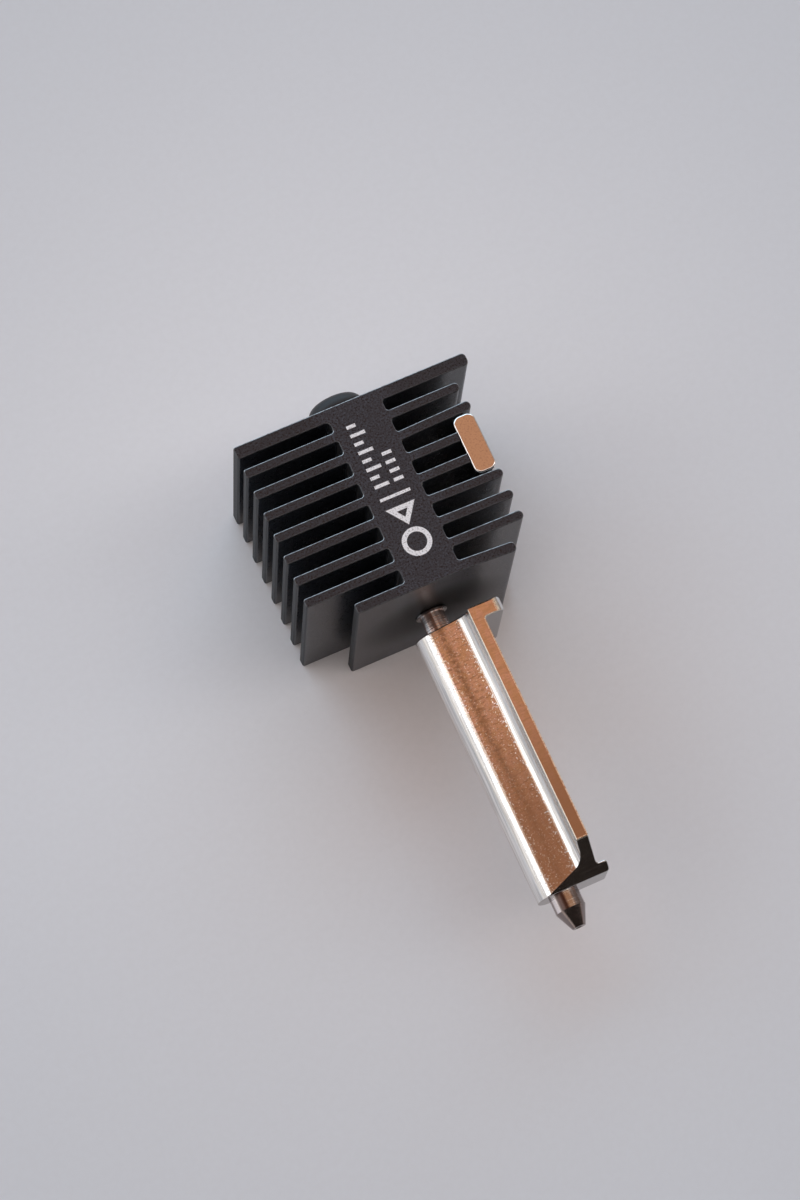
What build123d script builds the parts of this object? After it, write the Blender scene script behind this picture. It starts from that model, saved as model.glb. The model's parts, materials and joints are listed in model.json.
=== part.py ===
"""Quick-change hotend for a 3-D printer: finned cold end, thin heat break, hot block and nozzle.

Millimetres. The assembly lies on its side, on the flat lower edges of its cooling fins.
+Z points up, away from that face; +Y runs along the filament axis from the nozzle to the inlet;
+X points to the side that carries the magnet and the face that the printer's heater presses on.
The origin is on the underside of the heatsink, below the filament axis, midway along the heatsink.
"""
from build123d import *
import math
import os

# ---- heatsink ------------------------------------------------------------------------------
HEATSINK_HEIGHT = 18.0
AXIS_Z = HEATSINK_HEIGHT / 2          # height of the filament axis
WEB_WIDTH = 4.75                      # solid spine that joins the fins
FIN_THICKNESS = 0.8
FIN_GAP = 1.2
FIN_COUNT = 9
FRONT_FIN_THICKNESS = 0.9             # fin 9, next to the hot block
REAR_FIN_THICKNESS = 1.1              # fin 1, at the filament inlet
REAR_FIN_GAP = 1.0                    # first gap, between fins 1 and 2
LEFT_REACH = 10.5                     # left fin tips, measured from the filament axis
RIGHT_REACH = 8.9
REAR_FIN_RIGHT_REACH = 10.3
SECOND_FIN_RIGHT_REACH = 8.7
FRONT_FIN_LEFT_REACH = 6.9
FRONT_FIN_RIGHT_REACH = 7.2
RIGHT_LEAN = {3: 0.19, 6: -0.17, 7: -0.15, 8: -0.1, 9: -0.3}   # thin right arms lean along Y at the tip
LEFT_TIP_RADIUS = 0.2
RIGHT_TIP_RADIUS = 0.37
ROOT_RADIUS = 0.25                    # fillet at the bottom of each gap
ENTRY_ROOT_RADIUS = 0.45              # larger fillet beside fin 1 on the left
EDGE_BREAK = 0.1                      # small rounding on machined outer edges

HEATSINK_LENGTH = (REAR_FIN_THICKNESS + REAR_FIN_GAP + FRONT_FIN_THICKNESS
                   + (FIN_COUNT - 2) * (FIN_THICKNESS + FIN_GAP))
FRONT_Y = -HEATSINK_LENGTH / 2
REAR_Y = HEATSINK_LENGTH / 2

# ---- magnet --------------------------------------------------------------------------------
MAGNET_WIDTH = 1.95
MAGNET_LENGTH = 5.26                  # a little more than its pocket: fins 3 and 6 lean away for it
MAGNET_DEPTH = 10.0
MAGNET_OUTER_X = 8.8
MAGNET_CORNER_RADIUS = 0.7
MAGNET_EDGE_RADIUS = 0.2
MAGNET_FINS = (4, 5)                  # these two fins are cut back to hold it
ADHESIVE_THICKNESS = 0.15

# ---- filament path -------------------------------------------------------------------------
FILAMENT_BORE_RADIUS = 0.95
COLLAR_BORE_RADIUS = 1.0
COLLAR_HEAD_RADIUS = 2.5
COLLAR_HEAD_LENGTH = 3.15
COLLAR_HEAD_ROUNDING = 1.1
COLLAR_SHANK_RADIUS = 1.7
COLLAR_SHANK_LENGTH = 4.0
COLLAR_COUNTERSINK = 0.35
TUBE_RADIUS = 1.08
COMPOUND_THICKNESS = 0.12             # thermal compound round the tube inside the heatsink
TUBE_INSERTION = 4.0                  # length of tube inside the hot block
TUBE_LEAD_IN = 0.7                    # flared mouth of the tube, behind the collar
TUBE_MOUTH_RADIUS = 1.03
RING_RADIUS = 1.41
RING_THICKNESS = 0.3

# ---- hot block and nozzle ------------------------------------------------------------------
BLOCK_GAP = 2.05                      # bare heat break between heatsink and block
BLOCK_LENGTH = 24.1
NOSE_RADIUS = 1.9
NOSE_CENTRE_X = -0.4
FLANK_SLOPE = 20.0                    # degrees, from the rounded nose up to the plate
FLANK_RADIUS = 1.2                    # concave blend between flank and plate
PLATE_INNER_X = 2.1
PLATE_OUTER_X = 3.15
PLATE_MIDDLE_X = (PLATE_INNER_X + PLATE_OUTER_X) / 2
PLATE_HALF_HEIGHT = 4.5
HOOK_REACH_X = 5.05
HOOK_THICKNESS = 1.2
HOOK_CORNER_RADIUS = 0.85
FOOT_REACH_X = 4.05
FOOT_THICKNESS = 0.86
TAPER_TIP_HALF_HEIGHT = 1.6           # the plate narrows to this at the nozzle end
PROFILE_RADIUS = 0.25
NOZZLE_RADIUS = 1.3
NOZZLE_STRAIGHT = 1.42
NOZZLE_RELIEF_RADIUS = 1.1            # turned relief behind the nozzle's bare end, just inside the block
NOZZLE_RELIEF_LENGTH = 0.7
NOZZLE_CONE_LENGTH = 1.62
NOZZLE_TIP_RADIUS = 0.58
ORIFICE_RADIUS = 0.3
ORIFICE_LENGTH = 0.7
INNER_CONE_LENGTH = 0.8

BLOCK_REAR_Y = FRONT_Y - BLOCK_GAP
BLOCK_FRONT_Y = BLOCK_REAR_Y - BLOCK_LENGTH
SHOULDER_Y = BLOCK_REAR_Y - TUBE_INSERTION     # tube end meets nozzle shank here
NOZZLE_CONE_Y = BLOCK_FRONT_Y - NOZZLE_STRAIGHT
NOZZLE_TIP_Y = NOZZLE_CONE_Y - NOZZLE_CONE_LENGTH

# ---- filled marks on the web ---------------------------------------------------------------
MARK_DEPTH = 0.05
RING_MARK_RADIUS = 1.25
MARK_STROKE = 0.42
TICK_PITCH = 0.8


def along_axis(y):
    """Plane square to the filament axis at y, with its own x along +X and its own y along +Z."""
    return Plane(origin=(0, y, AXIS_Z), x_dir=(1, 0, 0), z_dir=(0, -1, 0))


def cylinder_between(radius, y_low, y_high):
    """Solid cylinder on the filament axis."""
    return extrude(along_axis(y_high) * Circle(radius), y_high - y_low)


def turned(points):
    """Revolve (radius, y) points about the filament axis."""
    outline = make_face(Polyline(*[(r, y) for r, y in points], close=True))
    solid = revolve(outline, Axis.Y, 360)
    return Pos(0, 0, AXIS_Z) * solid


def fin_span(number):
    """Front and rear y of a fin; fin 1 is at the inlet, fin 9 at the hot block."""
    if number == 1:
        return REAR_Y - REAR_FIN_THICKNESS, REAR_Y
    if number == FIN_COUNT:
        return FRONT_Y, FRONT_Y + FRONT_FIN_THICKNESS
    front = FRONT_Y + FRONT_FIN_THICKNESS + FIN_GAP
    front += (FIN_COUNT - 1 - number) * (FIN_THICKNESS + FIN_GAP)
    return front, front + FIN_THICKNESS


def fin_reach(number):
    """Left and right x of a fin's tips."""
    if number == 1:
        return -LEFT_REACH, REAR_FIN_RIGHT_REACH
    if number == 2:
        return -LEFT_REACH, SECOND_FIN_RIGHT_REACH
    if number == FIN_COUNT:
        return -FRONT_FIN_LEFT_REACH, FRONT_FIN_RIGHT_REACH
    return -LEFT_REACH, RIGHT_REACH


def fin_outline(number):
    """Plan of one fin, with rounded tips and the right arm's lean."""
    front, rear = fin_span(number)
    left, right = fin_reach(number)
    root = WEB_WIDTH / 2
    lean = RIGHT_LEAN.get(number, 0)
    plan = make_face(Polyline((left, front), (root, front), (right, front + lean),
                              (right, rear + lean), (root, rear), (left, rear), close=True))
    plan = fillet(plan.vertices().group_by(Axis.X)[0], LEFT_TIP_RADIUS)
    return fillet(plan.vertices().group_by(Axis.X)[-1], RIGHT_TIP_RADIUS)


def heatsink_plan():
    """Plan of the whole heatsink: web and fins, with fillets at the gap roots."""
    plan = Rectangle(WEB_WIDTH, HEATSINK_LENGTH)
    for number in range(1, FIN_COUNT + 1):
        plan += fin_outline(number)
    entry_y = fin_span(1)[0]

    def at_root(vertex):
        return abs(abs(vertex.X) - WEB_WIDTH / 2) < 1e-4 and abs(vertex.Y) < REAR_Y - 0.01

    def at_entry(vertex):
        return vertex.X < 0 and abs(vertex.Y - entry_y) < 1e-4

    plan = fillet([v for v in plan.vertices() if at_root(v) and at_entry(v)], ENTRY_ROOT_RADIUS)
    return fillet([v for v in plan.vertices() if at_root(v) and not at_entry(v)], ROOT_RADIUS)


def magnet_pocket():
    """Space cut from two fins, from the top face down to a ledge that carries the magnet."""
    front = fin_span(MAGNET_FINS[-1] + 1)[1]
    rear = fin_span(MAGNET_FINS[0] - 1)[0]
    depth = MAGNET_DEPTH + ADHESIVE_THICKNESS
    width = RIGHT_REACH - MAGNET_OUTER_X + MAGNET_WIDTH
    centre = (RIGHT_REACH - width / 2, (front + rear) / 2, HEATSINK_HEIGHT - depth / 2)
    return Pos(*centre) * Box(width, rear - front, depth)


def mark_plan():
    """Plan of the marks: a nozzle ring, an arrow to the nozzle, a bar and two rows of ticks."""
    ring_y = FRONT_Y + 3.7
    arrow_y = FRONT_Y + 6.2
    bar_y = FRONT_Y + 8.0
    first_tick_y = FRONT_Y + 9.2
    ring = Circle(RING_MARK_RADIUS) - Circle(RING_MARK_RADIUS - MARK_STROKE)
    arrow = make_face(Polyline((-1.3, 0.85), (1.3, 0.85), (0, -0.95), close=True))
    arrow -= offset(arrow, -MARK_STROKE, kind=Kind.INTERSECTION)
    marks = [Pos(0, ring_y) * ring, Pos(0, arrow_y) * arrow, Pos(0, bar_y) * Rectangle(2.7, 0.26)]
    for index in range(8):
        length = 1.3 if index % 2 == 0 else 0.8
        marks.append(Pos(-1.3 + length / 2, first_tick_y + index * TICK_PITCH) * Rectangle(length, 0.3))
    for index in range(4):
        marks.append(Pos(0.85, first_tick_y + index * TICK_PITCH) * Rectangle(0.85, 0.3))
    return marks


def face_marks():
    """White filling of the engraved marks, flush with the top of the web."""
    low = HEATSINK_HEIGHT - MARK_DEPTH
    return [extrude(Pos(0, 0, low) * plan, MARK_DEPTH) for plan in mark_plan()]


def heatsink():
    """Finned cold end in one piece, bored along the filament axis."""
    body = extrude(heatsink_plan(), HEATSINK_HEIGHT)
    rim = body.faces().sort_by(Axis.Z)[-1].edges() + body.faces().sort_by(Axis.Z)[0].edges()
    body = fillet(rim, EDGE_BREAK)
    body -= magnet_pocket()
    body -= cylinder_between(TUBE_RADIUS + COMPOUND_THICKNESS, FRONT_Y - 1, REAR_Y)
    body -= cylinder_between(COLLAR_SHANK_RADIUS, REAR_Y - COLLAR_SHANK_LENGTH, REAR_Y + 1)
    for mark in face_marks():
        body -= mark
    return body


def magnet():
    """Rounded bar magnet that stands in the pocket, flush with the top of the fins."""
    pocket = magnet_pocket().bounding_box()
    centre_y = (pocket.min.Y + pocket.max.Y) / 2
    plan = RectangleRounded(MAGNET_WIDTH, MAGNET_LENGTH, MAGNET_CORNER_RADIUS)
    bar = extrude(plan, MAGNET_DEPTH)
    rim = bar.faces().sort_by(Axis.Z)[-1].edges() + bar.faces().sort_by(Axis.Z)[0].edges()
    bar = fillet(rim, MAGNET_EDGE_RADIUS)
    return Pos(MAGNET_OUTER_X - MAGNET_WIDTH / 2, centre_y, HEATSINK_HEIGHT - MAGNET_DEPTH) * bar


def magnet_adhesive():
    """Glue film between the magnet and the ledge on the two short fins."""
    pocket = magnet_pocket().bounding_box()
    centre_y = (pocket.min.Y + pocket.max.Y) / 2
    width = MAGNET_WIDTH - 2 * MAGNET_EDGE_RADIUS
    length = MAGNET_LENGTH - 2 * MAGNET_EDGE_RADIUS
    film = extrude(RectangleRounded(width, length, MAGNET_EDGE_RADIUS), ADHESIVE_THICKNESS)
    return Pos(MAGNET_OUTER_X - MAGNET_WIDTH / 2, centre_y, pocket.min.Z) * film


def inlet_collar():
    """Round-headed bush that leads the filament into the heatsink."""
    end_y = REAR_Y + COLLAR_HEAD_LENGTH
    inner_y = REAR_Y - COLLAR_SHANK_LENGTH
    bush = cylinder_between(COLLAR_HEAD_RADIUS, REAR_Y, end_y)
    bush = fillet(bush.edges().filter_by(GeomType.CIRCLE).sort_by(Axis.Y)[-1], COLLAR_HEAD_ROUNDING)
    bush += cylinder_between(COLLAR_SHANK_RADIUS, inner_y, REAR_Y)
    bush -= cylinder_between(COLLAR_BORE_RADIUS, inner_y - 1, end_y + 1)
    mouth = [edge for edge in bush.edges().filter_by(GeomType.CIRCLE)
             if abs(edge.radius - COLLAR_BORE_RADIUS) < 1e-4]
    return chamfer(ShapeList(mouth).sort_by(Axis.Y)[-1], COLLAR_COUNTERSINK)


def heat_break_tube():
    """Thin steel tube that carries the filament from the cold end into the hot block."""
    rear = REAR_Y - COLLAR_SHANK_LENGTH
    return turned([(TUBE_RADIUS, SHOULDER_Y), (TUBE_RADIUS, rear), (TUBE_MOUTH_RADIUS, rear),
                   (FILAMENT_BORE_RADIUS, rear - TUBE_LEAD_IN), (FILAMENT_BORE_RADIUS, SHOULDER_Y)])


def thermal_compound():
    """Sleeve of thermal compound between the tube and the heatsink's bore."""
    rear = REAR_Y - COLLAR_SHANK_LENGTH - TUBE_LEAD_IN
    sleeve = cylinder_between(TUBE_RADIUS + COMPOUND_THICKNESS, FRONT_Y, rear)
    return sleeve - cylinder_between(TUBE_RADIUS, FRONT_Y - 1, rear + 1)


def heat_break_ring():
    """Thin ring on the tube, against the front of the heatsink."""
    ring = cylinder_between(RING_RADIUS, FRONT_Y - RING_THICKNESS, FRONT_Y)
    ring -= cylinder_between(TUBE_RADIUS, FRONT_Y - 1, FRONT_Y + 1)
    rims = [edge for edge in ring.edges().filter_by(GeomType.CIRCLE)
            if abs(edge.radius - RING_RADIUS) < 1e-4]
    return fillet(rims, RING_THICKNESS / 3)


def block_section():
    """Section of the block square to the filament axis: rounded nose, sloping flanks, tall plate."""
    slope = math.radians(FLANK_SLOPE)
    start = (NOSE_CENTRE_X - NOSE_RADIUS * math.sin(slope), NOSE_RADIUS * math.cos(slope))
    corner_z = start[1] + (PLATE_INNER_X - start[0]) * math.tan(slope)
    flank = Polyline(start, (PLATE_INNER_X, corner_z), (PLATE_INNER_X, PLATE_HALF_HEIGHT),
                     (PLATE_OUTER_X, PLATE_HALF_HEIGHT), (PLATE_OUTER_X, -PLATE_HALF_HEIGHT),
                     (PLATE_INNER_X, -PLATE_HALF_HEIGHT), (PLATE_INNER_X, -corner_z),
                     (start[0], -start[1]))
    nose = ThreePointArc((start[0], -start[1]), (NOSE_CENTRE_X - NOSE_RADIUS, 0), start)
    face = make_face([flank, nose])
    roots = [v for v in face.vertices()
             if abs(v.X - PLATE_INNER_X) < 1e-4 and abs(abs(v.Y) - corner_z) < 1e-4]
    face = fillet(roots, FLANK_RADIUS)
    tops = [v for v in face.vertices()
            if abs(v.X - PLATE_INNER_X) < 1e-4 and abs(abs(v.Y) - PLATE_HALF_HEIGHT) < 1e-4]
    return fillet(tops, EDGE_BREAK)


def contact_profile():
    """Side profile of the plate in plan, with the hook at its rear end and the foot at its front."""
    def strip(reach, y_low, y_high):
        width = reach - PLATE_MIDDLE_X
        return Pos(PLATE_MIDDLE_X + width / 2, (y_low + y_high) / 2) * Rectangle(width, y_high - y_low)

    plate = strip(PLATE_OUTER_X, BLOCK_FRONT_Y, BLOCK_REAR_Y)
    hook = strip(HOOK_REACH_X, BLOCK_REAR_Y - HOOK_THICKNESS, BLOCK_REAR_Y)
    foot = strip(FOOT_REACH_X, BLOCK_FRONT_Y, BLOCK_FRONT_Y + FOOT_THICKNESS)
    profile = plate + hook + foot
    outer = [v for v in profile.vertices() if v.X > PLATE_OUTER_X - 1e-4]
    return fillet(outer, PROFILE_RADIUS)


def end_view():
    """Outline of the plate seen along the filament axis, with the hook's rounded corners."""
    width = HOOK_REACH_X - PLATE_MIDDLE_X
    outline = Pos(PLATE_MIDDLE_X + width / 2, 0) * Rectangle(width, 2 * PLATE_HALF_HEIGHT)
    return fillet(outline.vertices().group_by(Axis.X)[-1], HOOK_CORNER_RADIUS)


def taper_cut(side):
    """Wedge that cuts the plate at 45 degrees towards the nozzle; side is +1 above, -1 below."""
    low = TAPER_TIP_HALF_HEIGHT
    reach = PLATE_HALF_HEIGHT - low + 1
    wedge = Plane.YZ * make_face(Polyline((BLOCK_FRONT_Y - 1, AXIS_Z + side * (low - 1)),
                                          (BLOCK_FRONT_Y + reach, AXIS_Z + side * (low + reach)),
                                          (BLOCK_FRONT_Y - 1, AXIS_Z + side * (low + reach)),
                                          close=True))
    return extrude(wedge, 2 * HOOK_REACH_X, both=True)


def heater_block():
    """Plated copper block: holds tube and nozzle shank, and its flat side takes the heater."""
    bulge = extrude(along_axis(BLOCK_REAR_Y) * block_section(), BLOCK_LENGTH)
    rear_edges = bulge.faces().sort_by(Axis.Y)[-1].edges()
    bulge = fillet([e for e in rear_edges if e.center().X < PLATE_INNER_X], EDGE_BREAK)
    low = AXIS_Z - PLATE_HALF_HEIGHT
    plate = extrude(Pos(0, 0, low) * contact_profile(), 2 * PLATE_HALF_HEIGHT)
    long_edges = [edge for edge in plate.edges().filter_by(Axis.Y)
                  if abs(edge.center().X - PLATE_OUTER_X) < 1e-3]
    plate = fillet(long_edges, EDGE_BREAK)
    plate &= extrude(along_axis(BLOCK_REAR_Y) * end_view(), BLOCK_LENGTH)
    block = bulge + plate
    for side in (1, -1):
        block -= taper_cut(side)
    block = fillet(block.faces().sort_by(Axis.Y)[0].outer_wire().edges(), EDGE_BREAK)
    block -= cylinder_between(TUBE_RADIUS, SHOULDER_Y, BLOCK_REAR_Y + 1)
    block -= cylinder_between(NOZZLE_RADIUS, BLOCK_FRONT_Y - 1, SHOULDER_Y)
    return block


def nozzle():
    """Steel nozzle with a long shank inside the block and a coned tip outside it."""
    relief_y = BLOCK_FRONT_Y + NOZZLE_RELIEF_LENGTH
    outer = [(NOZZLE_RADIUS, SHOULDER_Y), (NOZZLE_RADIUS, relief_y), (NOZZLE_RELIEF_RADIUS, relief_y),
             (NOZZLE_RELIEF_RADIUS, BLOCK_FRONT_Y), (NOZZLE_RADIUS, BLOCK_FRONT_Y),
             (NOZZLE_RADIUS, NOZZLE_CONE_Y), (NOZZLE_TIP_RADIUS, NOZZLE_TIP_Y)]
    orifice_y = NOZZLE_TIP_Y + ORIFICE_LENGTH
    inner = [(ORIFICE_RADIUS, NOZZLE_TIP_Y), (ORIFICE_RADIUS, orifice_y),
             (FILAMENT_BORE_RADIUS, orifice_y + INNER_CONE_LENGTH), (FILAMENT_BORE_RADIUS, SHOULDER_Y)]
    return turned(outer + inner)


NODES = {
    "heatsink": heatsink,
    "inlet_collar": inlet_collar,
    "thermal_compound": thermal_compound,
    "heat_break_tube": heat_break_tube,
    "heat_break_ring": heat_break_ring,
    "heater_block": heater_block,
    "nozzle": nozzle,
    "magnet": magnet,
    "magnet_adhesive": magnet_adhesive,
    "face_marks": face_marks,
}

os.makedirs("parts", exist_ok=True)
for name, make in NODES.items():
    shape = make()
    if isinstance(shape, list):
        shape = Compound(children=[solid for item in shape for solid in item.solids()])
    export_step(shape, f"parts/{name}.step")
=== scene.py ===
"""Looks for the hotend: camera, studio light, floor and a procedural material for every piece."""
import json
import math

import bpy
from mathutils import Matrix, Vector


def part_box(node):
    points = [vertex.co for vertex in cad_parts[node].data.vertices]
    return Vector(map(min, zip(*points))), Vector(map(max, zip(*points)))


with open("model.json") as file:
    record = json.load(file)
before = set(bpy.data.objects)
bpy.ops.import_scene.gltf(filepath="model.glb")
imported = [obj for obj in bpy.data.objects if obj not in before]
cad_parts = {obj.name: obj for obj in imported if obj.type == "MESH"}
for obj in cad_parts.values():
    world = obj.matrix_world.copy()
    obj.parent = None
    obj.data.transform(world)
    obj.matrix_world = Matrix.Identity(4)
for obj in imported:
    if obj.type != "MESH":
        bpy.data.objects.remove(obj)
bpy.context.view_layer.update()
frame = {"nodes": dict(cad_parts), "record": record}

MM = 0.001

# ---- camera ---------------------------------------------------------------------------------
CAMERA_TARGET = Vector((-1.9, -6.55, 9.0)) * MM
CAMERA_DISTANCE = 320.6 * MM
CAMERA_AZIMUTH = -32.66                      # degrees; 0 looks along +Y, negative stands to the left
CAMERA_ELEVATION = 73.60                     # degrees above the floor
CAMERA_ROLL = 8.57                           # degrees
CAMERA_LENS = 115.5                          # mm
CAMERA_SENSOR = 36.0                         # mm, the long side
CAMERA_CLIP_START = 0.01                     # m

# ---- places on the object, in millimetres ---------------------------------------------------
AXIS_HEIGHT = 9.0                            # filament axis above the floor
EDGE_TOP = (0.001, 0.006)                    # depths at which a small rounded edge begins
EDGE_FOOT = (0.080, 0.100)                   # depths at which it ends
FIN_SHADE = (2.6, 4.2)                       # distances from the axis over which the fins darken
BLOCK_MIDDLE = -23.0                         # Y of the hot block's middle
BLOCK_HALF_LENGTH = 11.0
TAPER_LENGTH = 2.9                           # 45 degree taper at the nozzle end of the block
HOOK_LENGTH = 1.2                            # hook, along the block

# ---- floor ----------------------------------------------------------------------------------
FLOOR_HALF_SIDE = 4.0                        # m
FLOOR_PAINTED_FALLOFF = 75.0                            # mm from the origin over which a painted falloff of light darkens the paper
# painted light: the paper is brightest near the origin and fades to the far colour
PAPER_NEAR_PAINTED_LIT = (0.838, 0.860, 0.892)
PAPER_FAR_PAINTED_DIM = (0.670, 0.708, 0.752)
PAPER_PAINTED_WARM_SHADE = (0.83, 0.765, 0.755)            # painted warm shade beside the hot block, with its warm bounce light
PAPER_FIBRE = (0.5, 0.5, 0.5)

# ---- studio dome ----------------------------------------------------------------------------
# Each patch of light: its colour, its lean from straight above in degrees towards +X, and its
# depth, the share of its direction that points to +Y. Later patches cover earlier ones.
ALL_ROUND = (-181.0, 181.0)
LEFT_SIDE = (-181.0, -66.0)
WINDOW_SIDE = (-66.0, -37.0)
OVERHEAD = (-37.0, 44.0)
RIGHT_SIDE = (44.0, 181.0)
STUDIO = {
    "ceiling": ((0.50, 0.245, 0.135), OVERHEAD, (-0.10, 0.56)),
    "soft overhead light": ((1.60, 1.38, 1.30), OVERHEAD, (-0.34, -0.10)),
    "left wall": ((0.82, 0.79, 0.78), LEFT_SIDE, (-0.34, 0.56)),
    "window frame": ((0.74, 0.72, 0.71), WINDOW_SIDE, (-0.34, 0.56)),
    "curtain": ((1.05, 0.84, 0.70), (-44.0, -37.0), (0.02, 0.44)),
    "window": ((1.95, 1.98, 2.05), (-65.0, -44.0), (0.02, 0.44)),
    "right wall, front": ((0.80, 0.58, 0.48), RIGHT_SIDE, (-0.34, 0.0)),
    "right wall": ((0.34, 0.29, 0.26), RIGHT_SIDE, (0.0, 0.45)),
    "right wall, back": ((0.74, 0.62, 0.52), RIGHT_SIDE, (0.45, 0.56)),
    "right panel": ((2.30, 2.26, 2.24), (30.0, 60.0), (-0.30, -0.02)),
    "back window": ((1.50, 1.90, 2.25), ALL_ROUND, (0.56, 0.80)),
    "back window, low": ((1.25, 1.60, 1.90), ALL_ROUND, (0.80, 1.10)),
    "front, left": ((1.10, 1.03, 1.00), (-181.0, -72.0), (-0.78, -0.34)),
    "front, right": ((0.95, 0.84, 0.80), (85.0, 181.0), (-0.78, -0.34)),
    "dark front": ((0.030, 0.025, 0.022), (-72.0, 85.0), (-0.78, -0.34)),
    "dark front, low": ((0.030, 0.025, 0.022), ALL_ROUND, (-1.10, -0.78)),
}
ROOM_COLOUR = (0.5, 0.5, 0.5)                # wherever no patch reaches
LEAN_BLUR = 2.5                              # degrees, half the soft edge of a patch
DEPTH_BLUR = 0.05


# ---- node helpers ---------------------------------------------------------------------------
class Tree:
    """Short way to write a node tree: every method adds a node and returns its output socket."""

    def __init__(self, tree):
        self.tree = tree
        tree.nodes.clear()

    def add(self, kind, output=0, inputs=None, **settings):
        """Adds a node with its settings and inputs."""
        item = self.tree.nodes.new(kind)
        for name, value in settings.items():
            setattr(item, name, value)
        for key, value in (inputs or {}).items():
            self.feed(item.inputs[key], value)
        return item.outputs[output] if len(item.outputs) else item

    def feed(self, socket, value):
        """Links a socket, or sets it; a plain colour gets its fourth number."""
        if isinstance(value, bpy.types.NodeSocket):
            self.tree.links.new(value, socket)
        elif isinstance(value, tuple) and len(value) == 3 and len(socket.default_value) == 4:
            socket.default_value = (*value, 1.0)
        else:
            socket.default_value = value

    def math(self, operation, a, b=0.0):
        return self.add("ShaderNodeMath", inputs={0: a, 1: b}, operation=operation)

    def both(self, a, b):
        """Product: where both masks are on, or a mask times an amount."""
        return self.math("MULTIPLY", a, b)

    def either(self, a, b):
        """The larger of two masks."""
        return self.math("MAXIMUM", a, b)

    def less(self, a, b):
        return self.math("SUBTRACT", a, b)

    def ramp(self, value, low, high, to_low=0.0, to_high=1.0):
        """Smooth step of value from low to high."""
        return self.add("ShaderNodeMapRange", interpolation_type="SMOOTHSTEP",
                        inputs={"Value": value, "From Min": low, "From Max": high,
                                "To Min": to_low, "To Max": to_high})

    def band(self, value, low, high, soft):
        """One between low and high, zero outside, with soft edges."""
        rise = self.ramp(value, low - soft, low + soft)
        fall = self.ramp(value, high - soft, high + soft, 1.0, 0.0)
        return self.both(rise, fall)

    def mix(self, factor, a, b):
        """Blend of two colours, which are sockets 6 and 7 of the node."""
        return self.add("ShaderNodeMix", output=2, data_type="RGBA", inputs={0: factor, 6: a, 7: b})

    def blend(self, factor, a, b):
        """Blend of two numbers, which are sockets 2 and 3 of the node."""
        return self.add("ShaderNodeMix", output=0, data_type="FLOAT", inputs={0: factor, 2: a, 3: b})

    def axes(self, vector):
        """The X, Y and Z of a vector."""
        return self.add("ShaderNodeSeparateXYZ", inputs={0: vector}).node.outputs

    def facing(self):
        """The X, Y and Z of the direction that the surface faces."""
        return self.axes(self.add("ShaderNodeNewGeometry", output="Normal"))

    def place(self, scale=(1, 1, 1)):
        """Position on the part, in millimetres times scale."""
        spot = self.add("ShaderNodeTexCoord", output="Object")
        return self.add("ShaderNodeVectorMath", operation="MULTIPLY",
                        inputs={0: spot, 1: tuple(s / MM for s in scale)})

    def noise(self, vector, scale, detail=2.0, roughness=0.5):
        return self.add("ShaderNodeTexNoise", output="Fac",
                        inputs={"Vector": vector, "Scale": scale, "Detail": detail,
                                "Roughness": roughness})

    def edge_foot(self, height, top):
        """Zero below the small rounded edge of a top face, one on the edge and above it."""
        return self.ramp(height, top - EDGE_FOOT[1], top - EDGE_FOOT[0])

    def edge(self, height, top):
        """One on the small rounded edge of a top face, zero on the face and below the edge."""
        return self.both(self.edge_foot(height, top),
                         self.ramp(height, top - EDGE_TOP[0], top - EDGE_TOP[1]))

    def bump(self, height, strength, distance):
        """Surface direction bent by a relief; distance in millimetres."""
        return self.add("ShaderNodeBump", output="Normal",
                        inputs={"Height": height, "Strength": strength, "Distance": distance * MM})

    def surface(self, inputs):
        """Principled shader with the given inputs, joined to the output."""
        shader = self.add("ShaderNodeBsdfPrincipled", inputs=inputs)
        self.add("ShaderNodeOutputMaterial", inputs={"Surface": shader})


def mount_place(name):
    """Place of one of the part's mounts, in metres."""
    return next(mount["pos_m"] for mount in frame["record"]["mounts"] if mount["name"] == name)


def new_material(name):
    material = bpy.data.materials.new(name)
    material.use_nodes = True
    return material, Tree(material.node_tree)


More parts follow.
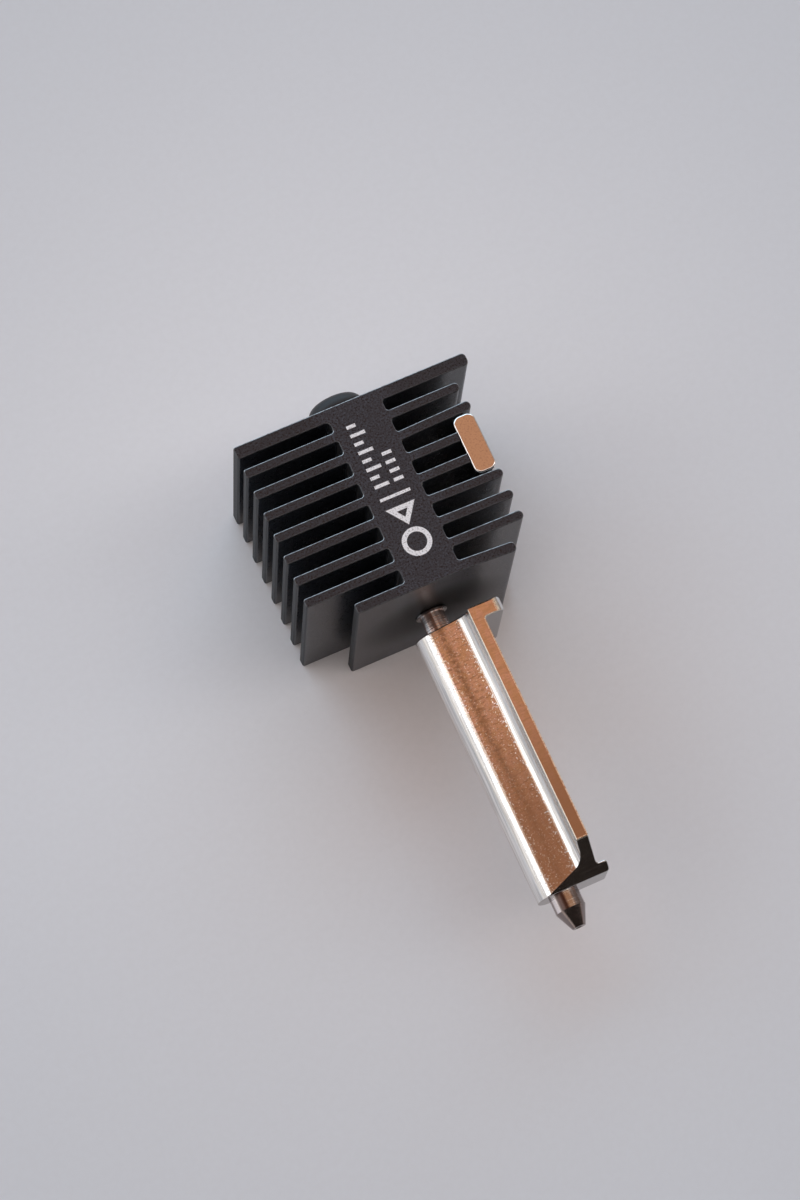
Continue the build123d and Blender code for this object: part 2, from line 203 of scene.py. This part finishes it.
# ---- heatsink and collar --------------------------------------------------------------------
def black_anodised():
    """Blasted and anodised aluminium: fine speckle, rubbed edges with a painted highlight on those
    facing the rear, darker fins, and painted shade on the fin ends.
    """
    material, tree = new_material("black_anodised")
    grain = tree.noise(tree.place(), 6.0, 3.0, 0.75)
    dust = tree.noise(tree.place(), 5.0, 1.0)
    cloud = tree.noise(tree.place(), 0.5, 2.0)
    facing = tree.facing()
    across, _, height = tree.axes(tree.place())

    tint = tree.mix(tree.ramp(grain, 0.36, 0.68), (0.006, 0.008, 0.012), (0.053, 0.063, 0.083))
    tint = tree.mix(tree.ramp(cloud, 0.3, 0.8, 0.0, 0.3), tint, (0.018, 0.020, 0.027))
    tint = tree.mix(tree.ramp(dust, 0.74, 0.80, 0.0, 0.5), tint, (0.14, 0.14, 0.15))
    on_fins = tree.ramp(tree.math("ABSOLUTE", across), *FIN_SHADE, 0.0, 0.4)
    tint = tree.mix(on_fins, tint, (0.004, 0.005, 0.007))
    # painted shade: the fin ends that face -X are darkened
    painted_shade_left_ends = tree.ramp(facing[0], -0.3, -0.8, 0.0, 0.6)
    tint = tree.mix(painted_shade_left_ends, tint, (0.002, 0.003, 0.003))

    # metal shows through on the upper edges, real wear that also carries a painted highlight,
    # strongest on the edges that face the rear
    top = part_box("heatsink")[1][2] / MM
    rubbed = tree.ramp(tree.noise(tree.place(), 2.5, 3.0), 0.32, 0.55, 0.35, 1.0)
    rear_highlight = tree.ramp(facing[1], 0.0, 0.35, 0.18, 1.0)
    worn_and_highlight = tree.both(tree.both(tree.edge(height, top), rubbed), rear_highlight)
    tint = tree.mix(worn_and_highlight, tint, (0.43, 0.44, 0.45))

    # painted shade round the heat break, on the front face: darker and duller there
    from_axis = tree.add("ShaderNodeVectorMath", output="Value", operation="DISTANCE",
                         inputs={0: tree.place((1.0, 0.0, 1.0)), 1: (0.0, 0.0, AXIS_HEIGHT)})
    painted_shade_round_tube = tree.both(tree.ramp(from_axis, 7.5, 2.0), tree.ramp(facing[1], -0.8, -0.95))
    tint = tree.mix(painted_shade_round_tube, tint, (0.002, 0.002, 0.002))

    rough = tree.ramp(grain, 0.25, 0.75, 0.24, 0.40)
    rough = tree.blend(tree.ramp(facing[0], -0.3, -0.8), rough, 0.60)
    rough = tree.blend(painted_shade_round_tube, rough, 0.62)
    tree.surface({"Base Color": tint, "Metallic": tree.both(worn_and_highlight, 0.9), "Roughness": rough,
                  "Specular IOR Level": 0.52, "Normal": tree.bump(grain, 0.45, 0.03)})
    return material


def grey_anodised():
    """Turned collar, anodised almost black, with fine turning lines round its axis."""
    material, tree = new_material("grey_anodised")
    lines = tree.noise(tree.place((0.05, 8.0, 0.05)), 2.0, 2.0)
    grain = tree.noise(tree.place(), 8.0, 2.0)
    tint = tree.mix(grain, (0.008, 0.008, 0.009), (0.024, 0.024, 0.026))
    tree.surface({"Base Color": tint, "Roughness": tree.ramp(grain, 0.2, 0.8, 0.36, 0.48),
                  "Specular IOR Level": 0.35, "Normal": tree.bump(lines, 0.2, 0.01)})
    return material


# ---- hot block ------------------------------------------------------------------------------
class BlockZones:
    """Where a point lies on the hot block: its place, its facing and a mask for each zone."""

    def __init__(self, tree):
        low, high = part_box("heater_block")
        self.top = high[2] / MM
        self.taper_y = low[1] / MM + TAPER_LENGTH
        self.hook_y = high[1] / MM - HOOK_LENGTH
        self.face_x = mount_place("heater_face")[0] / MM
        self.across, self.along, self.height = tree.axes(tree.place())
        self.facing = tree.facing()
        self.plate = tree.ramp(self.height, self.top - 0.16, self.top - 0.10)
        self.hollow = tree.ramp(self.across, 1.20, 1.45)
        self.nose = tree.ramp(self.across, -0.55, -1.20)
        self.nose_side = tree.ramp(self.across, -0.9, -1.5, 0.0, 0.6)
        self.shoulder = tree.ramp(self.across, 0.75, 1.25)
        self.end = tree.ramp(self.facing[1], -0.50, -0.65)
        past_face = tree.ramp(self.across, self.face_x + 0.05, self.face_x + 0.20)
        self.hook_end = tree.both(past_face, tree.ramp(self.facing[2], 0.99, 0.96))


class BlockGrain:
    """The patterns in the hot block's surface."""

    def __init__(self, tree):
        pitted = tree.noise(tree.place((0.8, 1.0, 0.8)), 6.5, 1.0)
        stroked = tree.noise(tree.place((0.30, 1.0, 0.30)), 5.5, 2.0)
        self.peened = tree.noise(tree.place((0.6, 1.0, 0.6)), 11.0, 2.0, 0.5)
        self.pits = tree.ramp(pitted, 0.625, 0.73, 0.0, 2.2)
        self.strokes = tree.ramp(stroked, 0.55, 0.66, 0.0, 0.5)
        self.lengthwise = tree.noise(tree.place((1.0, 0.03, 1.0)), 5.0, 3.0, 0.6)
        self.crosswise = tree.noise(tree.place((0.12, 1.0, 0.12)), 7.0, 3.0, 0.6)
        self.mottle = tree.noise(tree.place((0.8, 1.0, 0.8)), 3.4, 4.0, 0.7)


def block_relief(tree, zone, grain):
    """Peening and pits on the flanks, lengthwise milling beside them, crosswise on the plate."""
    pit_depth = tree.both(grain.pits, tree.ramp(grain.mottle, 0.35, 0.60, 0.4, 1.2))
    relief = tree.less(grain.peened, pit_depth)
    relief = tree.blend(tree.either(zone.hollow, zone.nose_side), relief, grain.lengthwise)
    relief = tree.blend(zone.plate, relief, tree.math("ADD", grain.crosswise, grain.peened))
    slope = tree.blend(zone.nose, 0.090, 0.22)
    slope = tree.blend(zone.shoulder, slope, 0.27)
    slope = tree.blend(zone.hollow, slope, 0.30)
    slope = tree.blend(zone.plate, slope, 0.07)
    slope = tree.blend(tree.either(zone.end, zone.hook_end), slope, 0.04)
    return tree.bump(relief, slope, 0.05)


def flank_tint(tree, zone, grain):
    """Warm tint, partly the plating's own colour and partly a painted warm reflection, with dark
    specks and strokes, and a painted dark reflection that wanders along the flank.
    """
    hue = tree.noise(tree.place((1.0, 0.6, 1.0)), 1.8, 3.0, 0.6)
    # partly painted warm reflection: the flanks' warm tint, over the plating's own colour
    tint = tree.mix(tree.ramp(hue, 0.35, 0.65), (0.90, 0.79, 0.66), (0.97, 0.85, 0.87))
    specks = tree.both(tree.ramp(grain.peened, 0.50, 0.38, 0.0, 0.32),
                       tree.ramp(zone.height, zone.top, zone.top - 0.3, 0.4, 1.0))
    tint = tree.mix(specks, tint, (0.44, 0.35, 0.29))
    tint = tree.mix(tree.ramp(grain.crosswise, 0.35, 0.65, 0.0, 0.3), tint, (0.60, 0.51, 0.41))
    strokes = tree.both(grain.strokes, tree.ramp(zone.height, zone.top, zone.top - 0.3, 0.35, 1.0))
    tint = tree.mix(strokes, tint, (0.42, 0.34, 0.27))
    # painted reflection: a dark band that wanders along the top of the flank
    drift = tree.less(zone.across, tree.ramp(zone.along, -22.0, -28.0, -0.36, -0.06))
    painted_dark_reflection = tree.both(tree.band(drift, -0.18, 0.28, 0.38),
                       tree.ramp(grain.mottle, 0.34, 0.60, 0.20, 0.95))
    tint = tree.mix(painted_dark_reflection, tint, (0.31, 0.235, 0.17))
    toward_nozzle = tree.ramp(zone.along, zone.taper_y + 16.0, zone.taper_y + 2.0, 0.0, 0.85)
    return tree.mix(toward_nozzle, tint, (0.45, 0.375, 0.325))


def plain_tint(tree, zone, grain):
    """Plainer, lighter nickel for the rounded sides and the hollows, calmest on the contact face;
    the lighter tint is partly painted light that brightens their reflections.
    """
    lines = tree.ramp(grain.lengthwise, 0.38, 0.62)
    plain = tree.mix(lines, (0.67, 0.655, 0.64), (0.96, 0.945, 0.92))
    contact = tree.both(tree.ramp(zone.facing[0], 0.90, 0.98), 0.7)
    return tree.mix(contact, plain, (0.80, 0.78, 0.76))


def milled_tint(tree, zone):
    """Milled metal for the tapers, with painted shade darkening the end face."""
    milling = tree.ramp(tree.noise(tree.place((0.10, 1.0, 1.0)), 5.0, 3.0, 0.7), 0.50, 0.66)
    milled = tree.mix(milling, (0.50, 0.45, 0.43), (0.80, 0.74, 0.71))
    # painted shade: the end face, which faces -Y, is darkened
    return tree.mix(tree.ramp(zone.facing[1], -0.92, -0.98), milled, (0.255, 0.25, 0.25))


def block_burrs_and_highlights(tree, zone, grain):
    """Mask for the bright burrs along the plate's upper edges and where its taper starts: partly
    real burrs, partly a painted highlight.
    """
    taper_burr_and_highlight = tree.both(tree.ramp(zone.height, zone.top - 0.08, zone.top - 0.03),
                           tree.ramp(zone.along, zone.taper_y + 0.12, zone.taper_y + 0.06))
    outer_burr_and_highlight = tree.both(tree.edge_foot(zone.height, zone.top),
                           tree.band(zone.across, zone.face_x - 0.11, zone.face_x + 0.02, 0.01))
    outer_burr_and_highlight = tree.both(outer_burr_and_highlight, tree.ramp(zone.along, zone.hook_y, zone.hook_y - 0.15))
    burr_and_highlight = tree.either(tree.edge(zone.height, zone.top), taper_burr_and_highlight)
    burr_and_highlight = tree.either(burr_and_highlight, outer_burr_and_highlight)
    return tree.both(burr_and_highlight, tree.ramp(grain.peened, 0.40, 0.56, 0.50, 1.0))


def nickel_plate():
    """Bright plating: warm and sparkling on the flanks, plain on the rounded sides, burred edges;
    the warm flanks, the lighter sides and the bright burred edges are partly painted reflection and
    highlight.
    """
    material, tree = new_material("nickel_plate")
    zone = BlockZones(tree)
    grain = BlockGrain(tree)
    beside_plate = tree.less(zone.hollow, zone.plate)
    rounded = tree.either(tree.ramp(zone.facing[2], 0.93, 0.86), beside_plate)
    rounded = tree.either(rounded, zone.hook_end)
    burr_and_highlight = block_burrs_and_highlights(tree, zone, grain)
    # partly painted light: the top-facing flanks take the warm tint, the sides, hollows and hook end
    # the lighter plain tint
    tint = tree.mix(rounded, flank_tint(tree, zone, grain), plain_tint(tree, zone, grain))
    tint = tree.mix(zone.end, tint, milled_tint(tree, zone))
    # painted highlight in part: the burred edges are tinted lighter
    tint = tree.mix(burr_and_highlight, tint, (0.96, 0.89, 0.74))
    rough = tree.ramp(tree.noise(tree.place(), 4.0, 2.0), 0.25, 0.75, 0.08, 0.15)
    rough = tree.blend(burr_and_highlight, rough, 0.36)
    tree.surface({"Base Color": tint, "Metallic": 1.0, "Roughness": rough,
                  "Normal": block_relief(tree, zone, grain)})
    return material


# ---- smaller pieces -------------------------------------------------------------------------
def magnet_plate():
    """Smooth tumbled nickel on the magnet."""
    material, tree = new_material("magnet_plate")
    wave = tree.noise(tree.place(), 1.6, 2.0)
    pits = tree.noise(tree.place(), 6.0, 2.0)
    tint = tree.mix(wave, (0.80, 0.77, 0.74), (0.90, 0.87, 0.84))
    tint = tree.mix(tree.ramp(pits, 0.50, 0.68, 0.0, 0.45), tint, (0.60, 0.53, 0.50))
    tree.surface({"Base Color": tint, "Metallic": 1.0,
                  "Roughness": tree.ramp(pits, 0.3, 0.7, 0.08, 0.16),
                  "Normal": tree.bump(wave, 0.12, 0.02)})
    return material


def turned_steel(name, dark, light, painted_dark_band, crown_reflection, sides, smoothest, roughest, painted_highlight_line=False):
    """Steel turned round the filament axis: fine grooves, and bands of colour along its shank that
    are painted reflections, set by which way the surface faces.

    From left to right: a painted light edge, a painted highlight on one side, a painted dark band, a
    painted reflection on the crown and a painted highlight on the other side.
    """
    material, tree = new_material(name)
    grooves = tree.noise(tree.place((0.02, 1.0, 0.02)), 10.0, 3.0, 0.65)
    stain = tree.noise(tree.place((1.0, 0.3, 1.0)), 2.0, 2.0)
    sideways, endways, _ = tree.facing()
    shank = tree.ramp(endways, -0.28, -0.15)
    side_highlight_mask = tree.either(tree.ramp(sideways, -0.66, -0.78), tree.ramp(sideways, 0.86, 0.95))
    tint = tree.mix(stain, dark, light)
    # painted reflections and highlights: bands of colour set by which way the shank faces
    for mask, colour in ((tree.band(sideways, -0.64, -0.20, 0.07), painted_dark_band),
                         (tree.band(sideways, -0.14, 0.26, 0.08), crown_reflection),
                         (side_highlight_mask, sides),
                         (tree.ramp(sideways, -0.90, -0.97), light)):
        tint = tree.mix(tree.both(mask, shank), tint, colour)
    # painted highlight: a white line along the shank near its crown
    if painted_highlight_line:
        tint = tree.mix(tree.band(sideways, -0.16, 0.04, 0.03), tint, (0.95, 0.95, 0.95))
    tree.surface({"Base Color": tint, "Metallic": 1.0,
                  "Roughness": tree.ramp(grooves, 0.3, 0.7, smoothest, roughest),
                  "Normal": tree.bump(grooves, 0.28, 0.05)})
    return material


def mark_white():
    """Matt white filling with pinholes."""
    material, tree = new_material("mark_white")
    grain = tree.noise(tree.place(), 7.0, 2.0)
    tint = tree.mix(tree.ramp(grain, 0.34, 0.50), (0.52, 0.52, 0.54), (0.90, 0.90, 0.92))
    tree.surface({"Base Color": tint, "Roughness": tree.ramp(grain, 0.2, 0.8, 0.5, 0.7),
                  "Normal": tree.bump(grain, 0.3, 0.01)})
    return material


def putty(name, dark, light):
    """Set compound or glue: dull and slightly lumpy."""
    material, tree = new_material(name)
    lumps = tree.noise(tree.place(), 4.0, 3.0)
    tree.surface({"Base Color": tree.mix(lumps, dark, light),
                  "Roughness": tree.ramp(lumps, 0.2, 0.8, 0.5, 0.75),
                  "Normal": tree.bump(lumps, 0.3, 0.02)})
    return material


# ---- stage ----------------------------------------------------------------------------------
def floor_paper():
    """Pale matt sheet with a faint fibre, with painted light brightest under the object and fading
    outwards, and painted warm shade by the block.
    """
    material, tree = new_material("floor_paper")
    flat = tree.place((1.0, 1.0, 0.0))
    fibre = tree.noise(flat, 1.6, 4.0, 0.6)
    away = tree.add("ShaderNodeVectorMath", output="Value", operation="LENGTH", inputs={0: flat})
    across, along, _ = tree.axes(flat)
    from_middle = tree.math("ABSOLUTE", tree.less(along, BLOCK_MIDDLE))
    beyond = tree.either(tree.less(from_middle, BLOCK_HALF_LENGTH), 0.0)
    gap = tree.math("SQRT", tree.math("ADD", tree.both(across, across), tree.both(beyond, beyond)))
    # painted light: brightest under the object, fading outwards
    tint = tree.mix(tree.ramp(away, 0.0, FLOOR_PAINTED_FALLOFF), PAPER_NEAR_PAINTED_LIT, PAPER_FAR_PAINTED_DIM)
    # painted warm shade: the paper is warmer close beside the hot block
    tint = tree.mix(tree.ramp(gap, 12.0, 1.0, 0.0, 0.5), tint, PAPER_PAINTED_WARM_SHADE)
    tint = tree.mix(tree.ramp(fibre, 0.3, 0.7, 0.0, 0.05), tint, PAPER_FIBRE)
    tree.surface({"Base Color": tint, "Roughness": 0.7, "Normal": tree.bump(fibre, 0.1, 0.03)})
    return material


def make_floor():
    size = FLOOR_HALF_SIDE
    mesh = bpy.data.meshes.new("floor")
    corners = [(-size, -size, 0), (size, -size, 0), (size, size, 0), (-size, size, 0)]
    mesh.from_pydata(corners, [], [(0, 1, 2, 3)])
    floor = bpy.data.objects.new("floor", mesh)
    bpy.context.collection.objects.link(floor)
    mesh.materials.append(floor_paper())


def make_studio():
    """Dome of light: warm ceiling, windows left and behind, a panel front right, a dark front."""
    world = bpy.data.worlds.new("studio")
    world.use_nodes = True
    bpy.context.scene.world = world
    tree = Tree(world.node_tree)
    east, north, up = tree.axes(tree.add("ShaderNodeTexCoord", output="Generated"))
    lean = tree.math("MULTIPLY", tree.math("ARCTAN2", east, up), math.degrees(1.0))
    colour = ROOM_COLOUR
    for patch_colour, lean_range, depth_range in STUDIO.values():
        mask = tree.both(tree.band(lean, *lean_range, LEAN_BLUR),
                         tree.band(north, *depth_range, DEPTH_BLUR))
        colour = tree.mix(mask, colour, patch_colour)
    background = tree.add("ShaderNodeBackground", inputs={"Color": colour, "Strength": 1.0})
    tree.add("ShaderNodeOutputWorld", inputs={"Surface": background})


def make_camera():
    azimuth = math.radians(CAMERA_AZIMUTH)
    elevation = math.radians(CAMERA_ELEVATION)
    roll = math.radians(CAMERA_ROLL)
    forward = Vector((-math.sin(azimuth) * math.cos(elevation),
                      math.cos(azimuth) * math.cos(elevation),
                      -math.sin(elevation)))
    level_right = forward.cross(Vector((0, 0, 1))).normalized()
    level_up = level_right.cross(forward)
    right = math.cos(roll) * level_right + math.sin(roll) * level_up
    up = math.cos(roll) * level_up - math.sin(roll) * level_right
    data = bpy.data.cameras.new("camera")
    data.lens = CAMERA_LENS
    data.sensor_width = CAMERA_SENSOR
    data.sensor_fit = "AUTO"
    data.clip_start = CAMERA_CLIP_START
    camera = bpy.data.objects.new("camera", data)
    bpy.context.collection.objects.link(camera)
    turn = Matrix((right, up, -forward)).transposed().to_4x4()
    camera.matrix_world = Matrix.Translation(CAMERA_TARGET - CAMERA_DISTANCE * forward) @ turn
    bpy.context.scene.camera = camera


def dress(node, material):
    """Gives a CAD node its material."""
    piece = frame["nodes"][node]
    if not piece.material_slots:
        piece.data.materials.append(material)
    for slot in piece.material_slots:
        slot.material = material


make_camera()
make_studio()
make_floor()
bpy.context.scene.view_settings.view_transform = "Standard"

tube_steel = turned_steel(
    "tube_steel", dark=(0.60, 0.43, 0.37), light=(0.82, 0.64, 0.58), painted_dark_band=(0.29, 0.19, 0.16),
    crown_reflection=(0.58, 0.46, 0.42), sides=(0.90, 0.87, 0.86), smoothest=0.05, roughest=0.10,
    painted_highlight_line=True)
# painted shade: the ring's steel is tinted almost black, with painted highlights on its sides
ring_steel = turned_steel(
    "ring_steel", dark=(0.06, 0.05, 0.05), light=(0.12, 0.10, 0.09), painted_dark_band=(0.05, 0.04, 0.04),
    crown_reflection=(0.16, 0.13, 0.12), sides=(0.92, 0.92, 0.94), smoothest=0.05, roughest=0.12)
nozzle_steel = turned_steel(
    "nozzle_steel", dark=(0.20, 0.155, 0.14), light=(0.34, 0.29, 0.275),
    painted_dark_band=(0.085, 0.054, 0.047), crown_reflection=(0.52, 0.50, 0.46), sides=(0.98, 0.90, 0.88),
    smoothest=0.16, roughest=0.24)
dress("heatsink", black_anodised())
dress("inlet_collar", grey_anodised())
dress("heat_break_tube", tube_steel)
dress("heat_break_ring", ring_steel)
dress("nozzle", nozzle_steel)
dress("heater_block", nickel_plate())
dress("magnet", magnet_plate())
dress("face_marks", mark_white())
dress("thermal_compound", putty("thermal_compound", (0.5, 0.5, 0.48), (0.66, 0.66, 0.64)))
dress("magnet_adhesive", putty("magnet_adhesive", (0.22, 0.22, 0.2), (0.32, 0.31, 0.28)))
